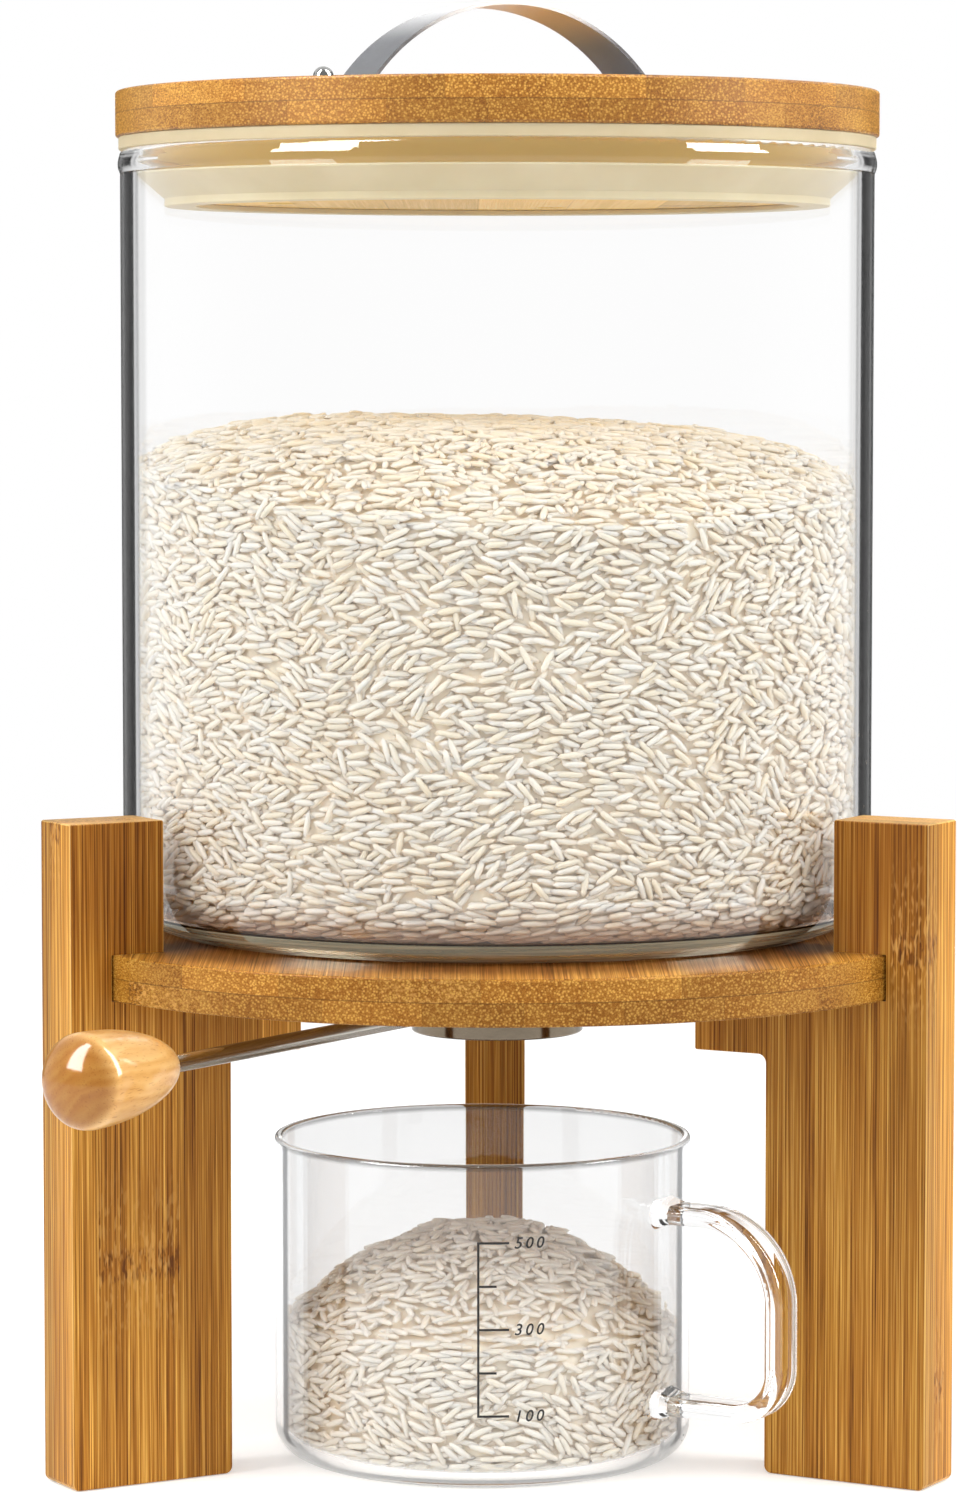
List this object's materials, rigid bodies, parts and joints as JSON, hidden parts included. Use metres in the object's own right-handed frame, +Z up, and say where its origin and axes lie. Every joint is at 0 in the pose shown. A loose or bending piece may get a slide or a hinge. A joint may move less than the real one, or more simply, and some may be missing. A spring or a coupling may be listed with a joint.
{
  "type": "glass rice dispenser",
  "caption": "Glass grain jar with a bamboo lid on a three-legged bamboo stand, with a lever-turned outlet valve below and a glass measuring cup under it.",
  "frame": {"origin": "on the jar's axis, at the level of the worktop on which the feet and the cup stand", "axes": "+Z up along the jar's axis; the front, where the lever leaves and the cup comes out, faces -Y; +X to the right seen from the front"},
  "size_m": [0.238, 0.2934, 0.384],
  "materials": {
    "bamboo": "oiled laminated bamboo",
    "knob_wood": "turned and waxed wood",
    "glass": "clear polished glass",
    "cup_glass": "clear polished glass",
    "silicone": "translucent cream silicone",
    "steel": "satin stainless steel",
    "brushed_strap": "brushed stainless strap",
    "bright_steel": "polished steel",
    "brass": "machined brass",
    "rice": "dry polished rice grains",
    "scale_print": "fired enamel print"
  },
  "bodies": {
    "stand": {"leg_back": "bamboo", "leg_front_left": "bamboo", "leg_front_right": "bamboo", "platform": "bamboo", "leg_screws": "steel", "outlet_sleeve": "steel", "port_plate": "steel", "sleeve_screws": "steel", "pivot_pin": "steel", "pivot_washer": "steel", "pivot_nut": "steel"},
    "valve": {"shutter_ring": "steel", "lever_rod": "steel", "lever_lock_nut": "steel", "knob": "knob_wood", "knob_insert": "brass"},
    "jar": {"glass_jar": "glass", "outlet_grommet": "silicone"},
    "lid": {"lid_disc": "bamboo", "lid_plug": "bamboo", "plug_screws": "steel", "lid_seal": "silicone", "handle_strap": "brushed_strap", "handle_bolts": "steel", "handle_dome_nuts": "bright_steel"},
    "cup": {"measuring_cup": "cup_glass"}
  },
  "joints": [
    {"name": "valve_turn", "type": "hinge", "parent": "stand", "child": "valve", "pos_m": [0, 0, 0.117], "axis": [0, 0, 1], "range_deg": [0, 60]},
    {"name": "jar_lift", "type": "slide", "parent": "stand", "child": "jar", "axis": [0, 0, 1], "range_m": [0, 0.06]},
    {"name": "lid_lift", "type": "slide", "parent": "jar", "child": "lid", "axis": [0, 0, 1], "range_m": [0, 0.08]},
    {"name": "cup_slide", "type": "slide", "parent": "stand", "child": "cup", "axis": [0, -1, 0], "range_m": [0, 0.16]}
  ]
}
